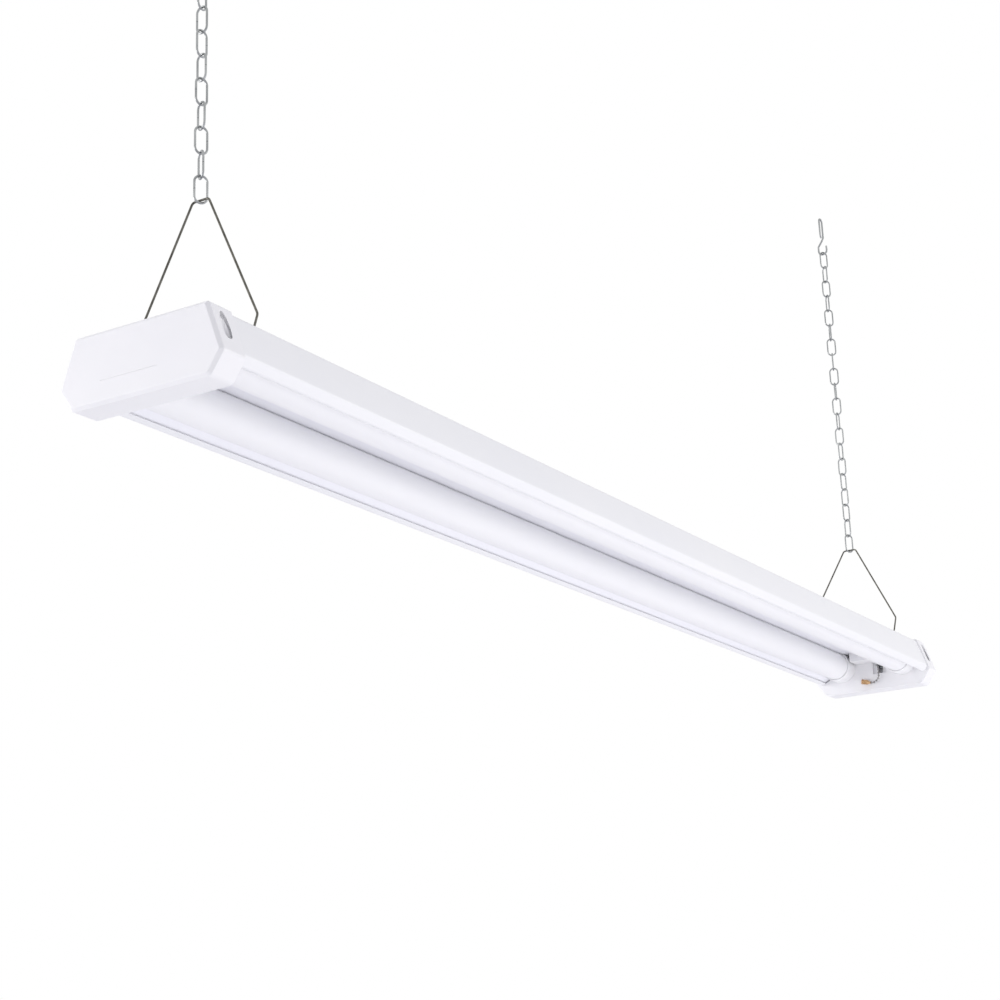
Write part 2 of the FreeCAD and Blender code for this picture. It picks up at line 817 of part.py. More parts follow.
def led_leads():
    """Wires from the driver across the tray and down to the end of the left board."""
    z = lead_level()
    x_hole, y_hole = lead_hole()
    x_driver = driver_x + driver_length
    wires = []
    for k in (-1, 1):
        y = y_hole + k * lead_spread
        low = -tray_drop - board_thickness / 2
        start_y = 3.4 + k * lead_spread
        wires.append(lead([V(x_driver + seat_gap, start_y, z), V(x_driver + 14, start_y, z),
                           V(x_driver + 45, y, z), V(x_hole, y, z), V(x_hole, y, low)], 2.0))
    return grouped(wires)


# ---- hanging gear -------------------------------------------------------------------
def hanger(end_x, foot_x, leg):
    """Bent wire: feet under the bridges, legs up to a short flat that sits in the link."""
    foot_z = -foot_drop
    lean = (end_x - foot_x) / (apex - foot_z)
    right = [V(foot_x, -(hanger_foot_half - hanger_foot_length), foot_z),
             V(foot_x, -hanger_foot_half, foot_z),
             V(foot_x + lean * (leg - foot_z), -hanger_bend_half, leg),
             V(end_x, -hanger_flat_half, apex)]
    left = [V(p.x, -p.y, p.z) for p in reversed(right)]
    return rod(right + left, [2.5, 4.0, 3.0, 3.0, 4.0, 2.5], hanger_wire)


def link(end_x, low_z, turn):
    """One bent-wire link with its lower crown's centre at low_z."""
    radius = link_wire / 2
    half = link_width / 2
    straight = link_crowns - link_width
    upper = Part.makeTorus(half, radius, V(0, 0, 0), V(0, 1, 0), -180, 180, 180)
    lower = upper.copy()
    upper.rotate(V(0, 0, 0), V(0, 1, 0), crown_turn(upper))
    lower.rotate(V(0, 0, 0), V(0, 1, 0), crown_turn(lower) + 180)
    upper.translate(V(0, 0, straight))
    legs = [Part.makeCylinder(radius, straight, V(x, 0, 0)) for x in (-half, half)]
    shape = upper.fuse([lower] + legs)
    slit = box(half - link_wire, half + link_wire, -link_wire, link_wire,
               straight / 2 - link_slit / 2, straight / 2 + link_slit / 2)
    shape = shape.cut(slit)
    shape.rotate(V(0, 0, 0), V(0, 0, 1), turn)
    shape.translate(V(end_x, 0, low_z + half))
    return shape


def crown_turn(half_ring):
    """Turn about Y that brings a half ring to arch upwards."""
    centre = half_ring.CenterOfMass
    return -math.degrees(math.atan2(centre.x, centre.z))


def chain_links(end_x):
    """The end link, the run and the top link of one chain, from the bottom up."""
    low_z = apex - apex_to_crown
    turn = link_turn
    groups = []
    for count in (1, run_links, 1):
        solids = []
        for k in range(count):
            solids.append(link(end_x, low_z, turn))
            last = k == count - 1
            low_z += joint_pitch if last else link_pitch
            turn += link_step
        groups.append(grouped(solids))
    return groups


def s_hook(end_x):
    """Wire hook: open bend below in the YZ plane, long closed eye above across it."""
    r = s_hook_bend
    half = s_hook_eye_width / 2
    base = hook_base
    top = base + s_hook_rise + s_hook_wire / 2
    neck = base + 17.0
    points = [V(end_x, -r * 0.9, base + 9.5), V(end_x, -r, base), V(end_x, r, base),
              V(end_x, r, base + 10.0), V(end_x, 0, neck), V(end_x + half, 0, neck + 5.0),
              V(end_x + half, 0, top), V(end_x - half, 0, top),
              V(end_x - half, 0, neck + 6.0), V(end_x - 2.0, 0, neck + 2.6)]
    radii = [r * 0.95, r * 0.95, 2.4, 2.2, 2.4, half * 0.98, half * 0.98, 2.4]
    return rod(points, radii, s_hook_wire)


# ---- build --------------------------------------------------------------------------
os.makedirs("parts", exist_ok=True)

save("housing_shell", housing_shell())
save("reflector_tray", reflector_tray())

save("led_board_left", led_board())
save("led_board_right", other_side(led_board()))
save("led_chips_left", led_chips())
save("led_chips_right", other_side(led_chips()))
save("board_screws", board_screws())
save("diffuser_left", diffuser())
save("diffuser_right", other_side(diffuser()))

save("end_cap_far", end_cap(True))
save("end_cap_near", flipped(end_cap(False)))
save("cap_screws", cap_screws())
save("cord_inlet_bush", cord_inlet_bush())

save("switch_body", switch_body())
save("pull_lever", pull_lever())
save("pull_chain_top", pull_chain_top())
save("pull_chain", pull_chain())
save("pull_bell", pull_bell())

save("driver_case", driver_case())
save("driver_board", driver_board())
save("driver_parts", driver_parts())
save("terminal_block", terminal_block())
save("earth_screw", earth_screw())
save("mains_leads", mains_leads())
save("switch_leads", switch_leads())
save("led_leads_left", led_leads())
save("led_leads_right", other_side(led_leads()))

for k, end, end_x in ((0, "near", -chain_x), (1, "far", chain_x)):
    save("hanger_" + end, hanger(end_x, feet_x[k], hanger_legs[k]))
    end_link, run, top_link = chain_links(end_x)
    save("end_link_" + end, end_link)
    save("chain_" + end, run)
    save("top_link_" + end, top_link)
    save("s_hook_" + end, s_hook(end_x))

print("light top at z", round(light_z, 3))
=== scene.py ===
import math

import bmesh
import bpy
from bmesh.types import BMEdge, BMVert
from mathutils import Matrix, Vector


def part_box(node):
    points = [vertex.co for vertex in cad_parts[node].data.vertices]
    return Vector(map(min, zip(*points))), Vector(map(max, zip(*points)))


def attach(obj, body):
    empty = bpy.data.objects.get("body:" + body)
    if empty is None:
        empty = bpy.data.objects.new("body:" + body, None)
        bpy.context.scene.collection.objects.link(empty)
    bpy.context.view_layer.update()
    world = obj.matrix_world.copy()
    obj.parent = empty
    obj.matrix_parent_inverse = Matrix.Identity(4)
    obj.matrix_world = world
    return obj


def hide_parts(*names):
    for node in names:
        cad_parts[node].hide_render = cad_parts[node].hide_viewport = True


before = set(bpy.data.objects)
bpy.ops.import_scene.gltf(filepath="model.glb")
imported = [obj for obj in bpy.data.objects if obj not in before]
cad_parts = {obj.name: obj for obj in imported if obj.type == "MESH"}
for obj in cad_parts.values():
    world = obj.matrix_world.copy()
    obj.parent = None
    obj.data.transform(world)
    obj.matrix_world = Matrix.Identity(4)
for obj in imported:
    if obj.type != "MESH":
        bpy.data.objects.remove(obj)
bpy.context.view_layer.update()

# ---- camera -------------------------------------------------------------------------
# The photograph is taken from under the near end, turned a little to the right and
# tilted up.  Its place comes from the corners of the light, so the framing is the same.

mm = 0.001
light_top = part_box("end_cap_far")[1][2]      # heights are measured from the light's top
camera_place = Vector((-1481.9, -778.9, -470.1)) * mm + Vector((0, 0, light_top))
camera_heading = math.radians(31.066)        # from +X towards +Y
camera_tilt = math.radians(16.732)
camera_roll = math.radians(-2.169)
lens_data = bpy.data.cameras.new("camera")
lens_data.sensor_width = 36.0
lens_data.lens = 72.56
camera = bpy.data.objects.new("camera", lens_data)
camera_turn = (Matrix.Rotation(camera_heading - math.pi / 2, 4, "Z")
               @ Matrix.Rotation(camera_tilt + math.pi / 2, 4, "X")
               @ Matrix.Rotation(camera_roll, 4, "Z"))
camera.matrix_world = Matrix.Translation(camera_place) @ camera_turn
bpy.context.collection.objects.link(camera)
bpy.context.scene.camera = camera

# ---- room ---------------------------------------------------------------------------
# A plain pale floor well below the light, a white surround, and soft lamps.  The
# surround shows white to the camera and in metal, but lights the object only gently.

bpy.context.scene.view_settings.view_transform = "Standard"
world = bpy.data.worlds.new("surround")
world.use_nodes = True
bpy.context.scene.world = world
sky = world.node_tree
sky.nodes.clear()
rays = sky.nodes.new("ShaderNodeLightPath")
seen = sky.nodes.new("ShaderNodeMath")
seen.operation = "MAXIMUM"
seen_glossy = sky.nodes.new("ShaderNodeMath")
seen_glossy.operation = "MAXIMUM"
ambient = sky.nodes.new("ShaderNodeBackground")
ambient.inputs["Color"].default_value = (0.945, 0.938, 1.0, 1)
ambient.inputs["Strength"].default_value = 0.73
white = sky.nodes.new("ShaderNodeBackground")
white.inputs["Color"].default_value = (1, 1, 1, 1)
white.inputs["Strength"].default_value = 1.0
choose = sky.nodes.new("ShaderNodeMixShader")
sky_out = sky.nodes.new("ShaderNodeOutputWorld")
sky.links.new(rays.outputs["Is Camera Ray"], seen.inputs[0])
sky.links.new(rays.outputs["Is Transmission Ray"], seen.inputs[1])
sky.links.new(seen.outputs[0], seen_glossy.inputs[0])
sky.links.new(rays.outputs["Is Glossy Ray"], seen_glossy.inputs[1])
sky.links.new(seen_glossy.outputs[0], choose.inputs["Fac"])
sky.links.new(ambient.outputs[0], choose.inputs[1])
sky.links.new(white.outputs[0], choose.inputs[2])
sky.links.new(choose.outputs[0], sky_out.inputs["Surface"])

floor_drop = 1.3                             # below the origin of the frame
floor_reach = 9.0
floor_mesh = bpy.data.meshes.new("floor")
floor_form = bmesh.new()
bmesh.ops.create_grid(floor_form, x_segments=1, y_segments=1, size=floor_reach,
                      matrix=Matrix.Translation((0, 0, -floor_drop)))
floor_form.to_mesh(floor_mesh)
floor_form.free()
floor = bpy.data.objects.new("floor", floor_mesh)
bpy.context.collection.objects.link(floor)
paper = bpy.data.materials.new("pale_floor")
paper.use_nodes = True
tree = paper.node_tree
tree.nodes.clear()
matt = tree.nodes.new("ShaderNodeBsdfDiffuse")
matt.inputs["Color"].default_value = (0.88, 0.88, 0.9, 1)
glow = tree.nodes.new("ShaderNodeEmission")
glow.inputs["Color"].default_value = (1, 1, 1, 1)
glow.inputs["Strength"].default_value = 0.55
clear = tree.nodes.new("ShaderNodeBsdfTransparent")
rays = tree.nodes.new("ShaderNodeLightPath")
facing = tree.nodes.new("ShaderNodeNewGeometry")
lit = tree.nodes.new("ShaderNodeAddShader")
shown = tree.nodes.new("ShaderNodeMixShader")      # glows to the camera only
side = tree.nodes.new("ShaderNodeMixShader")       # clear when it is seen from below
out = tree.nodes.new("ShaderNodeOutputMaterial")
tree.links.new(matt.outputs[0], lit.inputs[0])
tree.links.new(glow.outputs[0], lit.inputs[1])
tree.links.new(rays.outputs["Is Camera Ray"], shown.inputs["Fac"])
tree.links.new(matt.outputs[0], shown.inputs[1])
tree.links.new(lit.outputs[0], shown.inputs[2])
tree.links.new(facing.outputs["Backfacing"], side.inputs["Fac"])
tree.links.new(shown.outputs[0], side.inputs[1])
tree.links.new(clear.outputs[0], side.inputs[2])
tree.links.new(side.outputs[0], out.inputs["Surface"])
floor_mesh.materials.append(paper)

for name, place, size, watts, tint in (
        ("key", (2.2, -2.6, 0.2), 2.2, 19.0, (1.0, 0.99, 0.97)),
        ("end_fill", (-2.4, 2.7, -0.5), 2.0, 54.0, (1.0, 0.99, 0.985)),
        ("under_fill", (0.05, -0.3, -1.22), 2.4, 11.0, (1.0, 0.99, 0.985)),
        ("back_fill", (0.6, 2.9, 0.7), 2.2, 6.0, (1.0, 0.99, 0.985))):
    lamp_data = bpy.data.lights.new(name, "AREA")
    lamp_data.size = size
    lamp_data.energy = watts
    lamp_data.color = tint
    lamp = bpy.data.objects.new(name, lamp_data)
    lamp.location = place
    aim = Vector((0, 0, light_top)) - Vector(place)
    lamp.rotation_euler = aim.to_track_quat("-Z", "Y").to_euler()
    bpy.context.collection.objects.link(lamp)

# ---- housing shell ------------------------------------------------------------------
# The top and sides: one length of 0.8 mm steel folded at the shoulders and along the
# lips, white powder coat.  Four bridges lanced up from the top hold the hanger feet.

shell_reach = 592.0                          # half length, ends inside the caps
shell_sheet = 0.8
shoulder = (52.23, -1.8)
side_turn = (62.53, -31.0)
lip = (58.8, -36.4)
lip_flange = (54.97, -34.24)
shell_bends = (1.5, 2.0, 4.0)                # outer radii at lip, side turn, shoulder
bridge_middle = 43.0
bridge_length = 6.0
bridge_radii = (0.9, 1.6)
bridge_steps = 10
foot_height = -0.9
hanger_feet = {"near": -558.0, "far": 534.0}
hair = 1e-6                                  # metres; places closer than this are the same


def at(x, y, z):
    """A place given in millimetres, heights from the top of the light."""
    return Vector((x * mm, y * mm, light_top + z * mm))


def only(kind, geom):
    """The vertices or the edges among what an operator made."""
    return [part for part in geom if isinstance(part, kind)]


def edges_along(form, y, z):
    """The edges that run along X through that place in the cross-section."""
    return [e for e in form.edges
            if all((v.co.yz - at(0, y, z).yz).length < hair for v in e.verts)]


def draw_edges(form, edges, way):
    """Draws edges out along a vector in metres; returns the new edges at its end."""
    drawn = bmesh.ops.extrude_edge_only(form, edges=edges)["geom"]
    moved = only(BMVert, drawn)
    bmesh.ops.translate(form, verts=moved, vec=way)
    return [e for e in only(BMEdge, drawn) if all(v in moved for v in e.verts)]


def round_over(form, edges, width, segments=2):
    """Rounds the given edges by that many millimetres."""
    bmesh.ops.bevel(form, geom=edges, offset=width * mm, offset_type="OFFSET",
                    segments=segments, profile=0.5, affect="EDGES", material=-1)


def fold_sheet(form, run, bends, reach, sheet, segments=6):
    """A strip through the (y, z) corners, drawn out along X, folded and given its wall.

    A sheet below zero puts the wall on the other side of the strip."""
    corners = [form.verts.new(at(-reach, y, z)) for y, z in run]
    edges = [form.edges.new(pair) for pair in zip(corners, corners[1:])]
    draw_edges(form, edges, (2 * reach * mm, 0, 0))
    for (y, z), before, after, bend in zip(run[1:-1], run, run[2:], bends):
        ahead = Vector((after[0] - y, after[1] - z)).normalized()
        back = Vector((y - before[0], z - before[1])).normalized()
        tangent = bend * math.tan(abs(back.angle_signed(ahead)) / 2)
        round_over(form, edges_along(form, y, z), tangent, segments)
    bmesh.ops.recalc_face_normals(form, faces=form.faces)
    bmesh.ops.solidify(form, geom=form.faces[:], thickness=sheet * mm)
    if sheet < 0:
        bmesh.ops.reverse_faces(form, faces=form.faces[:])


def add_piece(form, name, material, body, replaces, smooth=35.0):
    """Turns a finished form into an object that rides on its body for those nodes."""
    mesh = bpy.data.meshes.new(name)
    form.to_mesh(mesh)
    form.free()
    mesh.materials.append(material)
    mesh.shade_smooth()
    mesh.set_sharp_from_angle(angle=math.radians(smooth))
    piece = bpy.data.objects.new(name, mesh)
    bpy.context.collection.objects.link(piece)
    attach(piece, body)
    if replaces:
        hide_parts(*replaces)
    return piece


def new_finish(name, colour, roughness, metallic=0.0):
    """A material with its main shader, and the object coordinates that drive detail."""
    material = bpy.data.materials.new(name)
    material.use_nodes = True
    nodes = material.node_tree
    shader = nodes.nodes["Principled BSDF"]
    shader.inputs["Base Color"].default_value = (*colour, 1)
    shader.inputs["Roughness"].default_value = roughness
    shader.inputs["Metallic"].default_value = metallic
    place = nodes.nodes.new("ShaderNodeTexCoord")
    return material, nodes, shader, place


def noise(nodes, place, scale, detail=3.0, stretch=(1, 1, 1)):
    """Noise on object coordinates; stretch draws it out along an axis."""
    mapping = nodes.nodes.new("ShaderNodeMapping")
    mapping.inputs["Scale"].default_value = stretch
    texture = nodes.nodes.new("ShaderNodeTexNoise")
    texture.inputs["Scale"].default_value = scale
    texture.inputs["Detail"].default_value = detail
    nodes.links.new(place.outputs["Object"], mapping.inputs["Vector"])
    nodes.links.new(mapping.outputs["Vector"], texture.inputs["Vector"])
    return texture.outputs["Fac"]


def shade_between(nodes, shader, fac, dark, light, socket="Base Color", low=0.3, high=0.7):
    """Runs a socket between two colours or two greys by a texture."""
    ramp = nodes.nodes.new("ShaderNodeValToRGB")
    ramp.color_ramp.elements[0].position = low
    ramp.color_ramp.elements[1].position = high
    ramp.color_ramp.elements[0].color = (*dark, 1)
    ramp.color_ramp.elements[1].color = (*light, 1)
    nodes.links.new(fac, ramp.inputs["Fac"])
    nodes.links.new(ramp.outputs["Color"], shader.inputs[socket])


def relief(nodes, shader, fac, depth, strength=1.0):
    """A fine bump of that depth in millimetres."""
    bump = nodes.nodes.new("ShaderNodeBump")
    bump.inputs["Strength"].default_value = strength
    bump.inputs["Distance"].default_value = depth * mm
    nodes.links.new(fac, bump.inputs["Height"])
    nodes.links.new(bump.outputs["Normal"], shader.inputs["Normal"])


powder_coat, nodes, shader, place = new_finish("powder_coat", (0.86, 0.865, 0.875), 0.36)
shader.inputs["Coat Weight"].default_value = 0.15
shader.inputs["Coat Roughness"].default_value = 0.2
shade_between(nodes, shader, noise(nodes, place, 9.0), (0.85, 0.857, 0.872),
              (0.875, 0.878, 0.884))
shade_between(nodes, shader, noise(nodes, place, 60.0), (0.33,) * 3, (0.42,) * 3, "Roughness")
relief(nodes, shader, noise(nodes, place, 900.0, 2.0), 0.02, 0.35)

half_run = [shoulder, side_turn, lip, lip_flange]
shell_run = [(-y, z) for y, z in reversed(half_run)] + half_run
form = bmesh.new()
fold_sheet(form, shell_run, shell_bends + shell_bends[::-1], shell_reach, -shell_sheet)
bridge_inner, bridge_outer = bridge_radii
bridge_leg = (foot_height - shoulder[1]) * mm
for x in hanger_feet.values():
    for y in (-bridge_middle, bridge_middle):
        before = set(form.faces)
        ends = [form.verts.new(at(x - (bridge_inner + bridge_outer) / 2, end, shoulder[1]))
                for end in (y - bridge_length / 2, y + bridge_length / 2)]
        crest = draw_edges(form, [form.edges.new(ends)], (0, 0, bridge_leg))
        arch = bmesh.ops.spin(form, geom=crest, cent=at(x, y, foot_height), axis=(0, 1, 0),
                              angle=math.pi, steps=bridge_steps)["geom_last"]
        draw_edges(form, only(BMEdge, arch), (0, 0, -bridge_leg))
        bridge = [f for f in form.faces if f not in before]
        bmesh.ops.solidify(form, geom=bridge, thickness=(bridge_outer - bridge_inner) * mm)
housing = add_piece(form, "housing_sheet", powder_coat, "light", ["housing_shell"], 30.0)

# ---- reflector tray -----------------------------------------------------------------
# The white underside between the tubes: a folded sheet whose middle spine holds the
# driver and whose wings lie on the lips.  Hook tabs under it hold the diffusers.

tray_reach = 592.0
tray_sheet = 0.8
tray_bend = 1.2
tray_half = [(8.5, -13.2), (8.5, -9.0), (51.3, -9.0), (51.3, -24.5), (47.9, -29.22),
             (57.0, -34.35)]
tab_count = 8
tab_pitch = 150.0
tab_length = 18.0
tab_sheet = 0.7
tab_top = -8.6
tab_low = -11.4
tab_toe = 1.1
tab_sides = (28.04, 42.36)                   # the legs of a pair, either side of a tube


def draw_out(form, run, x0, x1):
    """A solid bar of the (y, z) outline from x0 to x1; returns its vertices."""
    face = form.faces.new([form.verts.new(at(x0, y, z)) for y, z in run])
    drawn = bmesh.ops.extrude_face_region(form, geom=[face])["geom"]
    moved = only(BMVert, drawn)
    bmesh.ops.translate(form, verts=moved, vec=((x1 - x0) * mm, 0, 0))
    bar = list(set(moved) | set(face.verts))
    bmesh.ops.recalc_face_normals(form, faces=list({f for v in bar for f in v.link_faces}))
    return bar


# The blue-lavender tint in this white and in its noise range is painted shade: it stands in for the
# lavender shade in the gap between the tubes, over a tray that is plain white.
reflector_white_painted_lavender_shade, nodes, shader, place = new_finish("reflector_white_painted_lavender_shade", (0.9, 0.905, 0.945), 0.3)
shade_between(nodes, shader, noise(nodes, place, 7.0), (0.892, 0.897, 0.94),
              (0.908, 0.912, 0.948), low=0.1, high=0.9)
shade_between(nodes, shader, noise(nodes, place, 45.0), (0.3,) * 3, (0.34,) * 3,
              "Roughness", low=0.1, high=0.9)
relief(nodes, shader, noise(nodes, place, 900.0, 2.0), 0.02, 0.3)

tray_run = [(-y, z) for y, z in reversed(tray_half)] + tray_half
form = bmesh.new()
fold_sheet(form, tray_run, [tray_bend] * (len(tray_run) - 2), tray_reach, tray_sheet, 3)
for k in range(tab_count):
    x = (k - (tab_count - 1) / 2) * tab_pitch
    for side in (-1, 1):
        for leg, toe in zip(tab_sides, (-tab_toe, tab_toe)):
            y = side * leg
            out = side * toe
            thick = math.copysign(tab_sheet, -out)
            tab = [(y, tab_top), (y, tab_low + tab_sheet), (y + out, tab_low + tab_sheet),
                   (y + out, tab_low), (y + thick, tab_low), (y + thick, tab_top)]
            draw_out(form, tab, x - tab_length / 2, x + tab_length / 2)
tray = add_piece(form, "tray_sheet", reflector_white_painted_lavender_shade, "light", ["reflector_tray"], 30.0)

# ---- lamp boards --------------------------------------------------------------------
# Inside each tube a long white circuit board is screwed up under the tray, with a row
# of small square lamps faced in yellow phosphor gel.  Plated pan-head screws hold it.


def dress(node, material):
    """Gives a node that keeps its plain solid its own finish."""
    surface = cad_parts[node].data
    surface.materials.clear()
    surface.materials.append(material)


solder_mask, nodes, shader, place = new_finish("white_solder_mask", (0.84, 0.84, 0.82), 0.34)
shade_between(nodes, shader, noise(nodes, place, 14.0), (0.8, 0.8, 0.775), (0.86, 0.86, 0.84))
relief(nodes, shader, noise(nodes, place, 260.0, 4.0, (0.3, 1, 1)), 0.03, 0.4)
phosphor, nodes, shader, place = new_finish("phosphor_gel", (0.86, 0.7, 0.26), 0.22)
shader.inputs["Coat Weight"].default_value = 0.6
shader.inputs["Coat Roughness"].default_value = 0.08
shade_between(nodes, shader, noise(nodes, place, 500.0), (0.82, 0.62, 0.2), (0.9, 0.76, 0.34))
relief(nodes, shader, noise(nodes, place, 1200.0, 2.0), 0.02, 0.3)
zinc, nodes, shader, place = new_finish("zinc_plate", (0.36, 0.37, 0.375), 0.28, 1.0)
shade_between(nodes, shader, noise(nodes, place, 70.0), (0.29, 0.3, 0.305), (0.42, 0.432, 0.436))
shade_between(nodes, shader, noise(nodes, place, 160.0), (0.22,) * 3, (0.34,) * 3, "Roughness")
relief(nodes, shader, noise(nodes, place, 900.0, 3.0), 0.008, 0.3)
for side in ("left", "right"):
    dress("led_board_" + side, solder_mask)
    dress("led_chips_" + side, phosphor)
dress("board_screws", zinc)

# ---- diffusers ----------------------------------------------------------------------
# Two extruded tubes of frosted plastic, open along the top where their edges turn in
# as feet over the hook tabs.  Their ends are pushed into the sockets of the caps.

tube_side = 35.2
tube_centre = -20.8
tube_radius = 14.7
tube_wall = 1.3
tube_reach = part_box("diffuser_left")[1][0] / mm
mouth_height = -9.3
foot_width = 1.6
tube_steps = 56

frosted, nodes, shader, place = new_finish("frosted_plastic", (0.935, 0.938, 0.95), 0.38)
shader.inputs["IOR"].default_value = 1.49
shader.inputs["Transmission Weight"].default_value = 0.04
shader.inputs["Subsurface Weight"].default_value = 0.12
shader.inputs["Subsurface Radius"].default_value = (0.002, 0.002, 0.0022)
shade_between(nodes, shader, noise(nodes, place, 5.0), (0.928, 0.931, 0.945), (0.942, 0.944, 0.954))
shade_between(nodes, shader, noise(nodes, place, 30.0), (0.34,) * 3, (0.44,) * 3, "Roughness")
relief(nodes, shader, noise(nodes, place, 700.0, 2.0, (0.02, 1, 1)), 0.02, 0.35)

rise = mouth_height - tube_centre
mouth_half = math.sqrt(tube_radius ** 2 - rise ** 2)
sweep = 2 * math.pi - 2 * math.atan2(mouth_half, rise)
for side_name, side in (("left", 1), ("right", -1)):
    form = bmesh.new()
    centre = at(-tube_reach, side * tube_side, tube_centre)
    start = form.verts.new(at(-tube_reach, side * tube_side + mouth_half, mouth_height))
    bmesh.ops.spin(form, geom=[start], cent=centre, axis=(1, 0, 0), angle=-sweep,
                   steps=tube_steps)
    ends = [v for v in form.verts if len(v.link_edges) == 1]
    for end in ends:
        inward = -1 if end.co.y > centre.y else 1
        foot = bmesh.ops.extrude_vert_indiv(form, verts=[end])["verts"]
        bmesh.ops.translate(form, verts=foot, vec=(0, inward * foot_width * mm, 0))
    draw_edges(form, form.edges[:], (2 * tube_reach * mm, 0, 0))
    bmesh.ops.recalc_face_normals(form, faces=form.faces)
    bmesh.ops.solidify(form, geom=form.faces[:], thickness=tube_wall * mm)
    tube = add_piece(form, "tube_" + side_name, frosted, "light", ["diffuser_" + side_name], 40.0)

# ---- end caps -----------------------------------------------------------------------
# White moulded caps: a bevelled cup over each end, a bulkhead inside it with a socket
# for each tube, and a pocket in each side for the screw that holds the cap to the tray.

cap_rim = 587.0
cap_face = 609.5
cap_shoulder = (53.5, 0.0)
cap_widest = (65.5, -34.0)
cap_foot = (55.0, -49.0)
cap_radii = (5.0, 3.0, 2.6)                  # at the foot, the widest place, the shoulder
cap_steps = 6
cap_bevel = 2.2
cap_edge = 0.4
cap_wall = 1.6
overcut = 1.0                                # how far a cutting tool runs past the wall
bulkhead = 2.4
bulkhead_top = -9.2                          # just under the tray
spine_gap = (8.7, -13.4)                     # room for the tray's middle spine
bulkhead_half = [spine_gap, (spine_gap[0], bulkhead_top), (51.1, bulkhead_top), (51.1, -24.6),
                 (47.7, -30.5), (58.9, -36.8), (61.9, -31.2), (62.7, -31.2), (63.6, -34.0),
                 (54.2, -47.3)]
socket_mouth = 568.0
socket_floor = 583.0
socket_root = cap_rim + 0.3                  # the back, a little way into the bulkhead
socket_bore = 14.85
socket_outside = 16.05
socket_lead = 0.3                            # chamfer inside the mouth
socket_edge = 0.4                            # and outside it
socket_steps = 64
saddle_half = 17.5                           # the block that joins the two sockets
saddle_low = -19.0
saddle_root = cap_rim + 0.2
saddle_round = 0.9
pocket_x = 598.0
pocket_side = 59.0
pocket_floor = -24.0
pocket_bore = 4.0
pocket_drill = 30.0                          # the tool stands clear of the cap's top
pocket_corner = ((2.7, 0), (3.3, 0.4), (3.75, 1.2), (pocket_bore, 2.6))
cup_outside = 5.3
cup_hole = 1.55
cup_floor = 1.3
cup_height = 26.0
cup_skin = 0.05                              # the cup ends this far inside the cap's side
inlet_side = 24.0
inlet_height = -27.0
inlet_hole = 7.1
port_middle = -8.7
port_half = 7.5
port_heights = (-32.0, -19.2)
line_sides = (-15.0, 31.0)                   # a fine line moulded in the near cap's face
line_heights = (-33.8, -33.3)
line_depth = 0.3


def carve(form, tools):
    """Cuts closed tool shapes out of a closed form and returns what is left."""
    blanks = []
    for shape in (form, tools):
        mesh = bpy.data.meshes.new("blank")
        shape.to_mesh(mesh)
        shape.free()
        blanks.append(bpy.data.objects.new("blank", mesh))
        bpy.context.collection.objects.link(blanks[-1])
    cut = blanks[0].modifiers.new("cut", "BOOLEAN")
    cut.operation = "DIFFERENCE"
    cut.solver = "EXACT"
    cut.use_self = True
    cut.object = blanks[1]
    left = bmesh.new()
    left.from_object(blanks[0], bpy.context.evaluated_depsgraph_get())
    for blank in blanks:
        mesh = blank.data
        bpy.data.objects.remove(blank)
        bpy.data.meshes.remove(mesh)
    return left


def lathe(form, profile, centre, axis, closed=False, steps=40):
    """Turns (radius, distance along the axis) points about a line; returns what it made."""
    before = set(form.verts)
    axis = Vector(axis)
    out = axis.orthogonal().normalized()
    start = [form.verts.new(centre + (out * r + axis * d) * mm) for r, d in profile]
    ahead = start[1:] + start[:1] if closed else start[1:]
    edges = [form.edges.new(pair) for pair in zip(start, ahead)]
    bmesh.ops.spin(form, geom=start + edges, cent=centre, axis=axis, angle=2 * math.pi,
                   steps=steps, use_merge=True)
    made = [v for v in form.verts if v not in before]
    bmesh.ops.remove_doubles(form, verts=made, dist=hair)
    made = [v for v in form.verts if v not in before]
    faces = list({f for v in made for f in v.link_faces})
    bmesh.ops.recalc_face_normals(form, faces=faces)
    return made + faces + list({e for f in faces for e in f.edges})


def block_out(form, x, y, z):
    """A plain block between two values on each axis."""
    draw_out(form, [(y[0], z[0]), (y[1], z[0]), (y[1], z[1]), (y[0], z[1])], *x)


def either_side(middle, half):
    """The two values that far either side of the middle."""
    return (middle - half, middle + half)


def lies_at(vert, x):
    """Whether a vertex lies at that many millimetres along X."""
    return abs(vert.co.x - x * mm) < hair


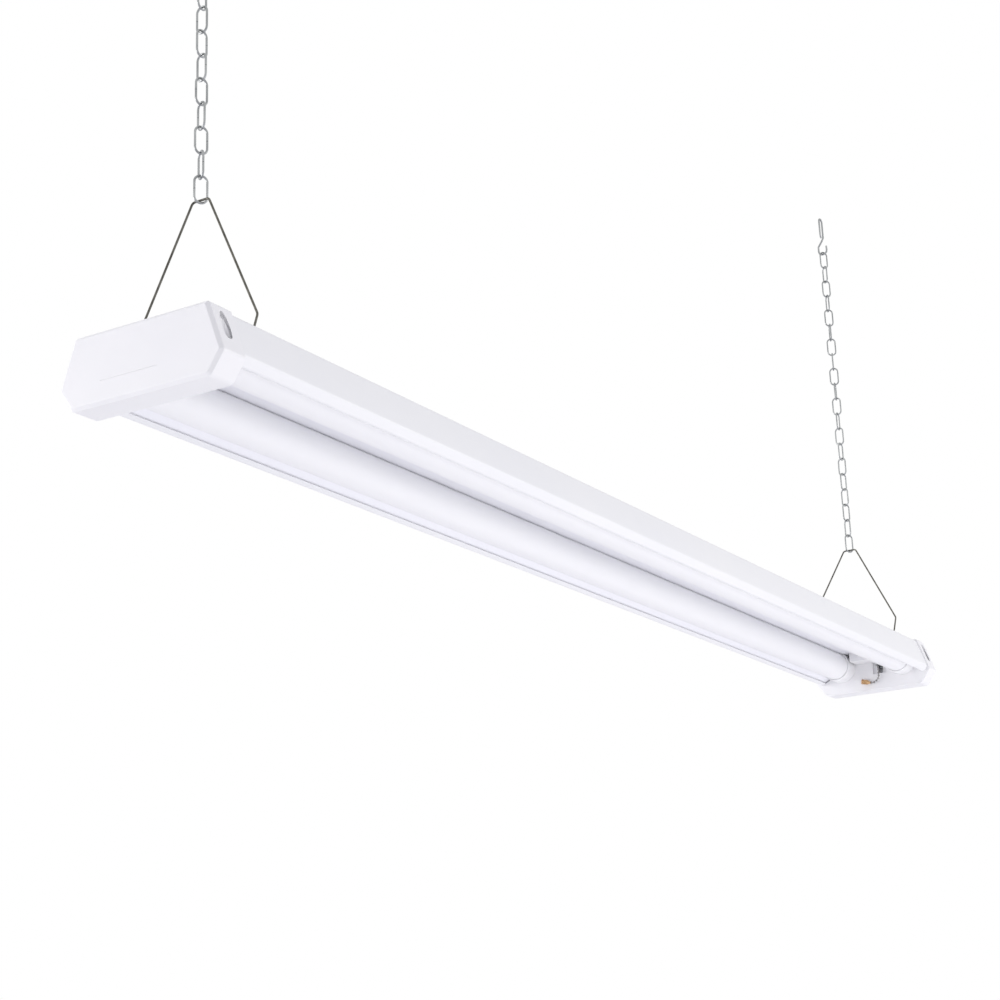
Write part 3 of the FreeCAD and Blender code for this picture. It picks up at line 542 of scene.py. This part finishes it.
def mould_cap(has_switch):
    """A cap as it stands at the far end, with the far cap's holes or the near cap's line."""
    form = bmesh.new()
    half = [cap_foot, cap_widest, cap_shoulder]
    corners = [(-y, z) for y, z in half] + half[::-1]
    draw_out(form, corners, cap_rim, cap_face)
    for k, radius in enumerate(cap_radii + cap_radii[::-1]):
        corner = Vector(corners[k])
        back = corner - Vector(corners[k - 1])
        ahead = Vector(corners[(k + 1) % len(corners)]) - corner
        round_over(form, edges_along(form, *corner), radius * math.tan(back.angle(ahead) / 2),
                   cap_steps)
    border = [e for e in form.edges if all(lies_at(v, cap_face) for v in e.verts)]
    round_over(form, border, cap_bevel, 1)
    mouth = [f for f in form.faces if all(lies_at(v, cap_rim) for v in f.verts)]
    bmesh.ops.delete(form, geom=mouth, context="FACES_ONLY")
    bmesh.ops.solidify(form, geom=form.faces[:], thickness=cap_wall * mm)
    keen = [e for e in form.edges if any(
        all(lies_at(v, x) for v in e.verts) for x in (cap_face - cap_bevel, cap_face))]
    round_over(form, keen, cap_edge)
    outline = [(-y, z) for y, z in reversed(bulkhead_half)] + bulkhead_half
    draw_out(form, outline, cap_rim, cap_rim + bulkhead)

    tools = bmesh.new()
    for side in (-1, 1):
        lathe(tools, [(0, 0), *pocket_corner, (pocket_bore, pocket_drill), (0, pocket_drill)],
              at(pocket_x, side * pocket_side, pocket_floor), (0, 0, 1))
    if has_switch:
        inside = cap_face - cap_wall - overcut
        outside = cap_face + overcut
        lathe(tools, [(0, inside), (inlet_hole, inside), (inlet_hole, outside), (0, outside)],
              at(0, inlet_side, inlet_height), (1, 0, 0))
        block_out(tools, (cap_rim - overcut, cap_rim + bulkhead + overcut),
                  either_side(port_middle, port_half), port_heights)
    else:
        block_out(tools, (cap_face - line_depth, cap_face + overcut), line_sides, line_heights)
    form = carve(form, tools)

    rise = (Vector(cap_shoulder) - Vector(cap_widest)).normalized()
    for side in (-1, 1):
        cup = lathe(form, [(cup_hole, -cup_floor), (cup_outside, -cup_floor),
                           (cup_outside, cup_height), (pocket_bore, cup_height),
                           *reversed(pocket_corner), (cup_hole, 0)],
                    at(pocket_x, side * pocket_side, pocket_floor), (0, 0, 1), True)
        outward = Vector((0, side * rise.y, -rise.x))
        flank = at(0, side * cap_shoulder[0], cap_shoulder[1]) - outward * cup_skin * mm
        cut = bmesh.ops.bisect_plane(form, geom=cup, plane_co=flank, plane_no=outward,
                                     clear_outer=True)["geom_cut"]
        bmesh.ops.bridge_loops(form, edges=only(BMEdge, cut))
        socket = lathe(form, [(0, socket_root), (socket_outside, socket_root),
                              (socket_outside, socket_mouth + socket_edge),
                              (socket_outside - socket_edge, socket_mouth),
                              (socket_bore + socket_lead, socket_mouth),
                              (socket_bore, socket_mouth + socket_lead),
                              (socket_bore, socket_floor), (0, socket_floor)],
                       at(0, side * tube_side, tube_centre), (1, 0, 0), steps=socket_steps)
        cut = bmesh.ops.bisect_plane(form, geom=socket, plane_co=at(0, 0, bulkhead_top),
                                     plane_no=(0, 0, 1), clear_outer=True)["geom_cut"]
        bmesh.ops.contextual_create(form, geom=only(BMEdge, cut))

    gap_half, gap_low = spine_gap
    saddle_side = [(saddle_half, saddle_low), (saddle_half, bulkhead_top),
                   (gap_half, bulkhead_top), (gap_half, gap_low)]
    saddle = draw_out(form, [(-y, z) for y, z in reversed(saddle_side)] + saddle_side,
                      socket_mouth, saddle_root)
    lower = [e for e in {e for v in saddle for e in v.link_edges}
             if all(abs(v.co.z - at(0, 0, saddle_low).z) < hair for v in e.verts)]
    round_over(form, lower, saddle_round, 3)
    return form


moulding, nodes, shader, place = new_finish("white_moulding", (0.875, 0.875, 0.885), 0.4)
shader.inputs["Subsurface Weight"].default_value = 0.1
shader.inputs["Subsurface Radius"].default_value = (0.0015, 0.0015, 0.0016)
shade_between(nodes, shader, noise(nodes, place, 16.0), (0.862, 0.862, 0.874), (0.884, 0.884, 0.892))
shade_between(nodes, shader, noise(nodes, place, 90.0), (0.36,) * 3, (0.46,) * 3, "Roughness")
relief(nodes, shader, noise(nodes, place, 1400.0, 2.0), 0.03, 0.3)

for end in ("near", "far"):
    form = mould_cap(has_switch=end == "far")
    if end == "near":
        bmesh.ops.scale(form, vec=(-1, 1, 1), verts=form.verts)
        bmesh.ops.reverse_faces(form, faces=form.faces)
    cap = add_piece(form, "cap_" + end, moulding, "light", ["end_cap_" + end], 28.0)
    even = cap.modifiers.new("even_shading", "WEIGHTED_NORMAL")
    even.keep_sharp = True

# ---- cap screws ---------------------------------------------------------------------
# A plated pan-head screw with a cross in its head stands in each pocket and bites the
# tray's ear below it.

screw_outline = [(0, 1.6), (1.3, 1.56), (2.1, 1.3), (2.5, 0.85), (2.6, 0.4), (2.6, 0), (1.5, 0),
                 (1.5, -8.4), (1.1, -9.0), (0, -9.0)]
cross_half = (1.3, 0.28)                     # half a slot's length and half its width
cross_heights = (0.8, 2.0)                   # above the seat
cross_stagger = 0.01                         # the second slot goes this much further

form = bmesh.new()
tools = bmesh.new()
for x in (-pocket_x, pocket_x):
    for y in (-pocket_side, pocket_side):
        seat = at(x, y, pocket_floor)
        lathe(form, screw_outline, seat, (0, 0, 1), steps=24)
        for half_x, half_y, extra in ((*cross_half, 0), (*reversed(cross_half), cross_stagger)):
            low, high = (pocket_floor + height for height in cross_heights)
            block_out(tools, either_side(x, half_x), either_side(y, half_y),
                      (low - extra, high + extra))
form = carve(form, tools)
screws = add_piece(form, "cap_screw_set", zinc, "light", ["cap_screws"])

# ---- cord bush ----------------------------------------------------------------------
# A black rubber-like bush snapped into the far cap's face, where the mains cord goes in.
# Its outline gives the radius and the distance out from that face.

bush_outline = [(4.0, -3.8), (4.2, -4.0), (7.5, -4.0), (7.8, -3.4), (7.8, -2.7), (7.0, -2.5),
                (7.0, 0), (8.9, 0), (9.0, 0.3), (8.9, 1.1), (8.3, 1.6), (7.4, 1.8), (6.2, 1.8),
                (5.8, 1.5), (5.2, 1.5), (4.8, 1.8), (4.3, 1.7), (4.0, 1.3)]

bush_black, nodes, shader, place = new_finish("bush_black", (0.035, 0.035, 0.038), 0.55)
shade_between(nodes, shader, noise(nodes, place, 120.0), (0.025, 0.025, 0.027), (0.06, 0.06, 0.064))
shade_between(nodes, shader, noise(nodes, place, 260.0), (0.45,) * 3, (0.65,) * 3, "Roughness")
relief(nodes, shader, noise(nodes, place, 900.0, 3.0), 0.05, 0.4)
form = bmesh.new()
lathe(form, bush_outline, at(cap_face, inlet_side, inlet_height), (1, 0, 0), True, 48)
bush = add_piece(form, "inlet_bush", bush_black, "light", ["cord_inlet_bush"], 40.0)

# ---- pull switch --------------------------------------------------------------------
# A white moulded switch behind the port, with a steel lever that turns on its pin.  The
# bead chain hangs in the lever's slot.

switch_x = (589.5, 603.5)
switch_y = (-19.2, 1.8)
switch_z = (-36.0, -17.5)
switch_edge = 0.5
well_x = (589.0, 597.5)                      # the open well that the lever works in
well_half = 3.2
well_z = (-31.0, -21.0)
pin_radius = 0.9
pin_half = 3.3
lever_middle = -8.7
lever_height = -23.5
lever_pivot = 595.0
lever_root = lever_pivot - 1.4               # inside the hub
lever_tip = 580.4
lever_half = 2.3
lever_sheet = 0.7
lever_round = 1.8
hub_outline = [(0.95, -2.8), (1.9, -2.8), (2.0, -2.6), (2.0, 2.6), (1.9, 2.8), (0.95, 2.8)]
chain_x = 583.0
slot_half = (1.3, 0.7)                       # the chain's slot, along the lever and across

form = bmesh.new()
block_out(form, switch_x, switch_y, switch_z)
round_over(form, form.edges[:], switch_edge)
tools = bmesh.new()
block_out(tools, well_x, either_side(lever_middle, well_half), well_z)
form = carve(form, tools)
pivot = at(lever_pivot, lever_middle, lever_height)
lathe(form, [(0, -pin_half), (pin_radius, -pin_half), (pin_radius, pin_half), (0, pin_half)],
      pivot, (0, 1, 0), steps=20)
switch = add_piece(form, "switch_case", moulding, "light", ["switch_body"])

form = bmesh.new()
block_out(form, (lever_tip, lever_root), either_side(lever_middle, lever_half),
          either_side(lever_height, lever_sheet / 2))
tips = [e for e in form.edges if all(lies_at(v, lever_tip) for v in e.verts)
        and abs(e.verts[0].co.z - e.verts[1].co.z) > hair]
round_over(form, tips, lever_round, 5)
tools = bmesh.new()
block_out(tools, either_side(chain_x, slot_half[0]), either_side(lever_middle, slot_half[1]),
          either_side(lever_height, overcut))
form = carve(form, tools)
lathe(form, hub_outline, pivot, (0, 1, 0), True, 28)
lever = add_piece(form, "switch_lever_arm", zinc, "switch_lever", ["pull_lever"])

# ---- pull chain ---------------------------------------------------------------------
# Nickelled bead chain, hollow beads threaded on short wires.  The top bead sits on the
# lever's slot; the chain curls to the left at its end and carries a small brass bell.

bead = 1.2                                   # radii of a bead and of its wire
bead_wire = 0.35
bead_pitch = 3.2
bead_play = 0.3                              # bare wire below the second bead
chain_top = -22.175
chain_line = [(lever_middle, chain_top), (lever_middle, -35.5), (-7.4, -39.0), (-3.6, -41.6),
              (0.6, -41.9)]
bell_lean = Vector((0, 9.4, 2.3)).normalized()
bell_gap = 0.1
bell_outline = [(0, 0), (1.25, 0), (1.5, 0.25), (1.5, 1.5), (1.9, 2.2), (2.4, 3.1), (2.6, 4.2),
                (2.6, 7.9), (2.72, 8.7), (2.9, 9.35), (2.88, 9.6), (2.6, 9.6), (2.3, 9.0),
                (2.0, 8.2), (2.0, 4.7), (0, 4.7)]


def bead_place(distance):
    """Where a bead lies that far down the chain."""
    for start, stop in zip(chain_line, chain_line[1:]):
        span = Vector(stop) - Vector(start)
        if distance <= span.length:
            y, z = Vector(start) + span * (distance / span.length)
            return at(chain_x, y, z)
        distance -= span.length


def thread_beads(form, places, tail=None):
    """Beads at the places and the wires between them, with a wire up to the tail."""
    for spot in places:
        bmesh.ops.create_uvsphere(form, u_segments=16, v_segments=10, radius=bead * mm,
                                  matrix=Matrix.Translation(spot))
    stops = ([tail] if tail else []) + places
    for a, b in zip(stops, stops[1:]):
        turn = (b - a).to_track_quat("Z", "Y").to_matrix().to_4x4()
        bmesh.ops.create_cone(form, cap_ends=True, segments=10, radius1=bead_wire * mm,
                              radius2=bead_wire * mm, depth=(b - a).length,
                              matrix=Matrix.Translation((a + b) / 2) @ turn)


nickel, nodes, shader, place = new_finish("nickel_beads", (0.36, 0.355, 0.35), 0.25, 1.0)
shade_between(nodes, shader, noise(nodes, place, 420.0), (0.16, 0.155, 0.15), (0.5, 0.49, 0.48))
shade_between(nodes, shader, noise(nodes, place, 700.0), (0.16,) * 3, (0.36,) * 3, "Roughness")
relief(nodes, shader, noise(nodes, place, 2000.0, 2.0), 0.01, 0.3)
brass, nodes, shader, place = new_finish("bell_brass", (0.66, 0.4, 0.2), 0.26, 1.0)
shade_between(nodes, shader, noise(nodes, place, 300.0), (0.46, 0.25, 0.12), (0.74, 0.5, 0.27))
shade_between(nodes, shader, noise(nodes, place, 600.0), (0.18,) * 3, (0.4,) * 3, "Roughness")
relief(nodes, shader, noise(nodes, place, 1800.0, 3.0), 0.02, 0.35)

total = sum((Vector(b) - Vector(a)).length for a, b in zip(chain_line, chain_line[1:]))
spots = [bead_place(k * bead_pitch) for k in range(int(total / bead_pitch) + 1)]
form = bmesh.new()
thread_beads(form, spots[:2])
top = add_piece(form, "chain_top_beads", nickel, "chain_top", ["pull_chain_top"], 60.0)
form = bmesh.new()
hang = (spots[2] - spots[1]).normalized()
thread_beads(form, spots[2:], spots[1] + hang * (bead + bead_play) * mm)
beads = add_piece(form, "chain_beads", nickel, "chain_and_bell", ["pull_chain"], 60.0)
form = bmesh.new()
lathe(form, bell_outline, spots[-1] + bell_lean * (bead + bell_gap) * mm, bell_lean, steps=36)
bell = add_piece(form, "chain_bell", brass, "chain_and_bell", ["pull_bell"], 50.0)

# ---- driver and wiring --------------------------------------------------------------
# Hidden in the spine above the tray: the driver in its open plastic tray, a nylon
# terminal block, an earth screw with its tag, and sleeved leads to switch and boards.

case_white, nodes, shader, place = new_finish("driver_case_white", (0.8, 0.8, 0.785), 0.5)
shade_between(nodes, shader, noise(nodes, place, 40.0), (0.76, 0.76, 0.745), (0.82, 0.82, 0.81))
relief(nodes, shader, noise(nodes, place, 800.0), 0.04, 0.4)
card_green, nodes, shader, place = new_finish("circuit_card", (0.05, 0.2, 0.09), 0.3)
shader.inputs["Coat Weight"].default_value = 0.5
shade_between(nodes, shader, noise(nodes, place, 220.0, 6.0, (0.4, 1, 1)), (0.03, 0.14, 0.06),
              (0.09, 0.27, 0.13), low=0.45, high=0.55)
relief(nodes, shader, noise(nodes, place, 400.0, 5.0), 0.05, 0.5)
parts_dark, nodes, shader, place = new_finish("driver_parts_sleeve", (0.06, 0.06, 0.09), 0.32)
shade_between(nodes, shader, noise(nodes, place, 90.0), (0.03, 0.03, 0.05), (0.14, 0.13, 0.16))
relief(nodes, shader, noise(nodes, place, 600.0, 2.0, (1, 0.1, 1)), 0.05, 0.5)
nylon, nodes, shader, place = new_finish("terminal_nylon", (0.8, 0.78, 0.7), 0.42)
shader.inputs["Subsurface Weight"].default_value = 0.2
shader.inputs["Subsurface Radius"].default_value = (0.002, 0.0018, 0.0014)
shade_between(nodes, shader, noise(nodes, place, 60.0), (0.76, 0.74, 0.65), (0.83, 0.81, 0.74))
relief(nodes, shader, noise(nodes, place, 700.0), 0.04, 0.4)
sleeve_white, nodes, shader, place = new_finish("lead_sleeve", (0.76, 0.76, 0.74), 0.36)
shade_between(nodes, shader, noise(nodes, place, 130.0), (0.7, 0.7, 0.68), (0.8, 0.8, 0.785))
relief(nodes, shader, noise(nodes, place, 500.0, 2.0, (0.1, 1, 1)), 0.03, 0.4)
for node, finish in (("driver_case", case_white), ("driver_board", card_green),
                     ("driver_parts", parts_dark), ("terminal_block", nylon), ("earth_screw", zinc),
                     ("mains_leads", sleeve_white), ("switch_leads", sleeve_white),
                     ("led_leads_left", sleeve_white), ("led_leads_right", sleeve_white)):
    dress(node, finish)

# ---- hangers ------------------------------------------------------------------------
# Dark spring wire bent to a narrow trapezium.  The feet turn in under the bridges, the
# short flat at the top sits in the lowest link; both lean a little towards their chain.

hanger_wire = 0.8                            # radius
hanger_bends = (2.5, 4.0, 3.0, 3.0, 4.0, 2.5)
foot_inner = 37.5
foot_outer = 48.5
bend_side = 51.0
bend_heights = {"near": 8.0, "far": 15.0}
flat_half = 6.7
flat_height = 101.35
chain_places = {"near": -552.0, "far": 552.0}
wire_sides = 14


def feed_wire(form, points, bends, radius, steps=7):
    """Feeds a round wire through the points, bending it round each inner one."""
    way = (points[1] - points[0]).normalized()
    turn = way.to_track_quat("Z", "Y").to_matrix().to_4x4()
    ring = bmesh.ops.create_circle(form, radius=radius * mm, segments=wire_sides, cap_ends=True,
                                   matrix=Matrix.Translation(points[0]) @ turn)["verts"]
    edges = list({e for v in ring for e in v.link_edges})
    here = points[0]
    for corner, after, bend in zip(points[1:], points[2:] + [None], list(bends) + [0]):
        reach = 0.0
        if after is not None:
            ahead = (after - corner).normalized()
            angle = way.angle(ahead)
            reach = bend * mm * math.tan(angle / 2)
        step = corner - way * reach - here
        if step.length > hair:
            edges = draw_edges(form, edges, step)
        here = corner - way * reach
        if after is None:
            break
        axis = way.cross(ahead).normalized()
        centre = here + axis.cross(way) * bend * mm
        turned = bmesh.ops.spin(form, geom=edges, cent=centre, axis=axis, angle=angle,
                                steps=steps)["geom_last"]
        edges = only(BMEdge, turned)
        here = corner + ahead * reach
        way = ahead
    bmesh.ops.contextual_create(form, geom=edges)


dark_wire, nodes, shader, place = new_finish("dark_spring_wire", (0.12, 0.115, 0.1), 0.34, 1.0)
shade_between(nodes, shader, noise(nodes, place, 160.0), (0.07, 0.068, 0.058), (0.17, 0.165, 0.145))
shade_between(nodes, shader, noise(nodes, place, 320.0), (0.22,) * 3, (0.4,) * 3, "Roughness")
relief(nodes, shader, noise(nodes, place, 2200.0, 2.0), 0.01, 0.3)

for end, x in chain_places.items():
    foot = hanger_feet[end]
    bend_height = bend_heights[end]
    bend = foot + (x - foot) * (bend_height - foot_height) / (flat_height - foot_height)
    points = [at(foot, foot_inner, foot_height), at(foot, foot_outer, foot_height),
              at(bend, bend_side, bend_height), at(x, flat_half, flat_height),
              at(x, -flat_half, flat_height), at(bend, -bend_side, bend_height),
              at(foot, -foot_outer, foot_height), at(foot, -foot_inner, foot_height)]
    form = bmesh.new()
    feed_wire(form, points, hanger_bends, hanger_wire)
    bmesh.ops.recalc_face_normals(form, faces=form.faces)
    wire = add_piece(form, "hanger_wire_" + end, dark_wire, "light", ["hanger_" + end], 45.0)

# ---- chains -------------------------------------------------------------------------
# Twenty links each, of 1.6 mm zinc-plated wire bent to a long oval with a butt joint in
# one leg.  Every link is a quarter turn and a little more round from the last.

link_wire = 0.8                              # radius
link_half = 4.35                             # from the middle to a leg's centre
link_crowns = 19.55
link_bend = link_half * 0.999                # leaves a trace of straight across the crown
link_slit = 0.3
run_pitch = 17.8
joint_pitch = 17.65
run_links = 18
link_turn = math.radians(145.0)
link_step = math.radians(90 + 90 / (run_links + 1))


def bend_link(form, x, low_crown, turn):
    """One link standing on its low crown, turned about its long axis."""
    high_crown = low_crown + link_crowns
    middle = (low_crown + high_crown) / 2
    across = Matrix.Rotation(turn, 3, "Z") @ Vector((1, 0, 0))

    def spot(side, height):
        return at(x, 0, height) + across * side * mm

    points = [spot(link_half, middle + link_slit / 2), spot(link_half, high_crown),
              spot(-link_half, high_crown), spot(-link_half, low_crown),
              spot(link_half, low_crown), spot(link_half, middle - link_slit / 2)]
    feed_wire(form, points, [link_bend] * 4, link_wire, 8)


for end, x in chain_places.items():
    low_crown = (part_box("end_link_" + end)[0][2] - light_top) / mm + link_wire
    turn = link_turn
    for count, node, body in ((1, "end_link_", "_end_link"), (run_links, "chain_", "_run"),
                              (1, "top_link_", "_top_link")):
        form = bmesh.new()
        for k in range(count):
            bend_link(form, x, low_crown, turn)
            low_crown += joint_pitch if k == count - 1 else run_pitch
            turn += link_step
        bmesh.ops.recalc_face_normals(form, faces=form.faces)
        links = add_piece(form, node + "wire_" + end, zinc, end + body, [node + end], 45.0)

# ---- ceiling hooks ------------------------------------------------------------------
# Wire hooks of 2.2 mm, drawn 2.1 mm thick to stay clear of the swinging top link.  The
# open bend takes that link; the long eye, a quarter turn round, hangs from the ceiling.

hook_wire = 1.05                             # radius
hook_bend = 5.0                              # half the width of the open bend
hook_tip = (4.5, 9.5)                        # its free end: aside, above the bottom
hook_shank = 10.0
hook_neck = 17.0
hook_round = hook_bend * 0.95
hook_corner = 2.4
neck_corner = 2.2
eye_half = 4.1
eye_round = eye_half * 0.98
eye_legs = (5.0, 6.0)                        # where the eye's legs start, above the neck
eye_end = (2.0, 2.6)                         # the wire's upper end: aside, above the neck

for end, x in chain_places.items():
    low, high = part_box("s_hook_" + end)
    base = (low[2] - light_top) / mm + hook_wire
    eye_top = (high[2] - light_top) / mm - hook_wire
    neck = base + hook_neck
    points = [at(x, -hook_tip[0], base + hook_tip[1]), at(x, -hook_bend, base),
              at(x, hook_bend, base), at(x, hook_bend, base + hook_shank), at(x, 0, neck),
              at(x + eye_half, 0, neck + eye_legs[0]), at(x + eye_half, 0, eye_top),
              at(x - eye_half, 0, eye_top), at(x - eye_half, 0, neck + eye_legs[1]),
              at(x - eye_end[0], 0, neck + eye_end[1])]
    bends = (hook_round, hook_round, hook_corner, neck_corner, hook_corner, eye_round, eye_round,
             hook_corner)
    form = bmesh.new()
    feed_wire(form, points, bends, hook_wire, 12)
    bmesh.ops.recalc_face_normals(form, faces=form.faces)
    hook = add_piece(form, "hook_wire_" + end, zinc, "hooks", ["s_hook_" + end], 45.0)
